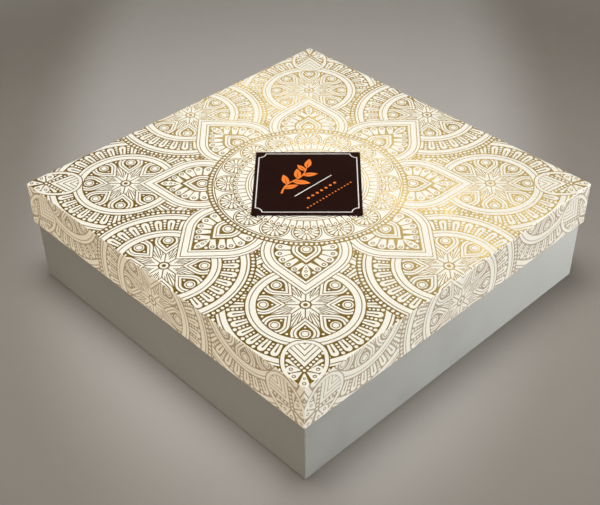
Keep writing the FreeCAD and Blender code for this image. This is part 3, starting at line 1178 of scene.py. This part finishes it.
for x in DIAMOND_ROW:
    along, across = [-DIAMOND, 0, DIAMOND, 0], [0, -DIAMOND, 0, DIAMOND]
    sprig_plate.append((at((x, DIAMOND_HEIGHT), 0.0, along, across), INK))
turn = np.arange(DOT_POINTS) / DOT_POINTS * 2 * math.pi
for x in DOT_ROW:
    dot = np.column_stack([x + DOT_RADIUS * np.cos(turn), DOT_HEIGHT + DOT_RADIUS * np.sin(turn)])
    sprig_plate.append((dot, INK))
print("dots under the sprig:", len(DIAMOND_ROW) + len(DOT_ROW))

# %% [markdown]
# ## The plaque's inks
# Both drawings are printed, so they lie flat on the plaque, a hair above its paper.
# The inks are matt, and the paper's felt still shows in them.

# %% Plaque inks
INK_LIFT = 0.03 * MM
white_ink = paper(
    "white_ink", tone=rgb(0.80, 0.78, 0.76), fibre=rgb(0.70, 0.67, 0.65),
    per_metre=2400.0, amount=0.5, gloss=(0.50, 0.62), bump_mm=0.006,
)
orange_ink = paper(
    "orange_ink", tone=rgb(0.86, 0.215, 0.028), fibre=rgb(0.74, 0.165, 0.018),
    per_metre=2400.0, amount=0.6, gloss=(0.48, 0.60), bump_mm=0.006,
)
for name, drawing, ink in (
    ("plaque_rule", rule_plate, white_ink), ("plaque_sprig", sprig_plate, orange_ink),
):
    spots, inked = cut_plate(drawing, [])
    places = np.column_stack([spots * MM, np.full(len(spots), plaque_high.z + INK_LIFT)])
    piece = printed_piece(name, places, inked, spots / (4 * plaque_half) + 0.5)
    piece.data.materials.append(ink)

# %% [markdown]
# ## The floor
# The box stands on a warm-grey sheet, much wider than the picture. Near the
# box it is an ordinary paper. A pool of light is painted into its colour: it is
# palest in a long pool along the line of sight, with painted shade darker to both
# sides, so a stretched and turned distance from one point picks between two tones.

# %% Floor sheet
FLOOR_HALF, FLOOR_GAP = 3.0, 0.05 * MM
PAINTED_LIGHT_PLACE, PAINTED_LIGHT_STRETCH = (0.186, 0.204, 0.0), (1.124, 0.447, 1.0)
PAINTED_LIGHT_TURN = (0.0, 0.0, math.radians(45))
PAINTED_LIGHT_FADE, PAINTED_SHADE_TONE = (0.319, 0.483), rgb(0.262, 0.244, 0.222)

floor_mesh = bpy.data.meshes.new("floor")
floor_mesh.from_pydata(
    [(-FLOOR_HALF, -FLOOR_HALF, 0), (FLOOR_HALF, -FLOOR_HALF, 0),
     (FLOOR_HALF, FLOOR_HALF, 0), (-FLOOR_HALF, FLOOR_HALF, 0)],
    [], [(0, 1, 2, 3)],
)
floor = bpy.data.objects.new("floor", floor_mesh)
bpy.context.scene.collection.objects.link(floor)
floor.location.z = cad_box[0].z - FLOOR_GAP
floor_sheet = paper(
    "floor_sheet", tone=rgb(0.447, 0.436, 0.420), fibre=rgb(0.426, 0.415, 0.40),
    per_metre=300.0, amount=0.5, gloss=(0.75, 0.9), bump_mm=0.01,
)
tree, shader = floor_sheet.node_tree, shader_of(floor_sheet)
place = node(tree, "TexCoord").outputs["Object"]
# Painted light: the floor colour is palest in a pool about the box and fades to a painted shade
# tone away from it.
painted_pool = node(tree, "Mapping", {
    "Vector": place, "Location": PAINTED_LIGHT_PLACE, "Rotation": PAINTED_LIGHT_TURN, "Scale": PAINTED_LIGHT_STRETCH,
}, vector_type="TEXTURE")
far_off = node(tree, "VectorMath", {0: painted_pool.outputs[0]}, operation="LENGTH").outputs["Value"]
painted_shade_share = ramp(tree, far_off, *PAINTED_LIGHT_FADE, interpolation_type="SMOOTHSTEP")
sheet_colour = shader.inputs["Base Color"].links[0].from_socket
painted_pool_colour = mix_colour(tree, painted_shade_share, sheet_colour, PAINTED_SHADE_TONE)
tree.links.new(painted_pool_colour, shader.inputs["Base Color"])
floor_mesh.materials.append(floor_sheet)
print("floor is", 2 * FLOOR_HALF, "m wide")

# %% [markdown]
# ## From floor to backdrop
# A photographer lets the sheet hang down behind the table, so no horizon shows.
# Here the sheet turns into the plain tone of the backdrop further out, but only for
# rays that look at it, straight or mirrored. Rays that gather light still meet an
# ordinary floor, so the light on the box stays natural.

# %% Floor into backdrop
BACKDROP = rgb(0.36, 0.345, 0.315)
FLOOR_CLEAR = (0.34, 0.80)


def looking(tree):
    """1 for rays that look, straight or mirrored; 0 for rays that gather light."""
    rays = node(tree, "LightPath").outputs
    seen = reckon(tree, "ADD", rays["Is Camera Ray"], rays["Is Glossy Ray"])
    return reckon(tree, "ADD", seen, rays["Is Transmission Ray"], use_clamp=True)


away = node(tree, "VectorMath", {0: place}, operation="LENGTH").outputs["Value"]
beyond = ramp(tree, away, *FLOOR_CLEAR, interpolation_type="SMOOTHSTEP")
share = reckon(tree, "MULTIPLY", beyond, looking(tree))
glow = node(tree, "Emission", {"Color": BACKDROP}).outputs[0]
both = node(tree, "MixShader", {0: share, 1: shader.outputs[0], 2: glow})
tree.links.new(both.outputs[0], tree.nodes["Material Output"].inputs["Surface"])
print("floor is clear from", FLOOR_CLEAR[1], "m")

# %% [markdown]
# ## Lamps
# A soft lamp hangs over the lid and keeps its paper evenly white. Mirrored in the
# foil it would wash the gold out, so glossy surfaces don't see it. What they mirror
# is a long cool strip behind and to the right. The walls get low lamps of their
# own: one past the right end of the front, one before the front, and a warm one on
# the left. The last lamp is for glossy surfaces only and gives the base its sheen.

# %% Lamps
def soft_lamp(name, place, aim_at, size, power, tint=(1.0, 1.0, 1.0), spread=180.0):
    lamp = bpy.data.lights.new(name, "AREA")
    lamp.shape = "RECTANGLE"
    lamp.size, lamp.size_y = size
    lamp.energy = power
    lamp.color = tint
    lamp.spread = math.radians(spread)
    stand = bpy.data.objects.new(name, lamp)
    bpy.context.scene.collection.objects.link(stand)
    stand.visible_camera = False
    stand.location = place
    stand.rotation_mode = "QUATERNION"
    stand.rotation_quaternion = (Vector(aim_at) - Vector(place)).to_track_quat("-Z", "Y")
    return stand


top_lamp = soft_lamp(
    "top_lamp", place=(-0.02, 0.025, 0.92), aim_at=(0.0, 0.0, 0.05), size=(0.44, 0.44),
    power=1.49, spread=72.0,
)
top_lamp.visible_glossy = False
soft_lamp(
    "strip_lamp", place=(0.97, 0.85, 0.92), aim_at=(0.0, 0.85, 0.05), size=(1.7, 0.20),
    power=1.25, tint=(0.97, 1.0, 1.10),
)
soft_lamp(
    "right_lamp", place=(0.92, -0.80, 0.06), aim_at=(0.0, -0.12, 0.02), size=(0.5, 0.10),
    power=0.62, spread=50.0,
)
soft_lamp(
    "front_lamp", place=(-0.4, -1.3, 0.08), aim_at=(0.0, -0.12, 0.03), size=(0.5, 0.10),
    power=0.62, spread=50.0,
)
soft_lamp(
    "left_lamp", place=(-1.35, -0.12, 0.06), aim_at=(-0.12, 0.08, 0.03), size=(0.5, 0.10),
    power=0.70, tint=(1.0, 0.84, 0.63), spread=50.0,
)
sheen_lamp = soft_lamp(
    "sheen_lamp", place=(0.62, -0.50, 0.045), aim_at=(0.12, -0.12, 0.02), size=(0.3, 0.06),
    power=0.62, spread=60.0,
)
sheen_lamp.visible_diffuse = False
print("lamps:", len(bpy.data.lights))

# %% [markdown]
# ## Sky and backdrop
# Rays that gather light meet a dim warm sky, which fills the shade. Rays that look
# meet the backdrop, with one dark patch high behind the box, as a black card would
# give. The gold turns deep where it mirrors that patch, and stays pale elsewhere.

# %% Sky
FILL = rgb(0.155, 0.124, 0.0775)
FLAG_TONE = rgb(0.208, 0.160, 0.045)
FLAG_DIRECTION = (0.536, 0.562, 0.629)
FLAG_EDGE = (math.cos(math.radians(52)), math.cos(math.radians(27)))

sky = bpy.data.worlds.new("studio_sky")
bpy.context.scene.world = sky
sky.use_nodes = True
tree = sky.node_tree
heading = node(tree, "TexCoord").outputs["Generated"]
facing = node(
    tree, "VectorMath", {0: heading, 1: FLAG_DIRECTION}, operation="DOT_PRODUCT"
).outputs["Value"]
flag = ramp(tree, facing, *FLAG_EDGE, interpolation_type="SMOOTHSTEP")
backdrop = mix_colour(tree, flag, BACKDROP, FLAG_TONE)
seen_tone = mix_colour(tree, looking(tree), FILL, backdrop)
tree.links.new(seen_tone, tree.nodes["Background"].inputs["Color"])
bpy.context.scene.view_settings.view_transform = "Standard"
print("sky set:", sky.name)
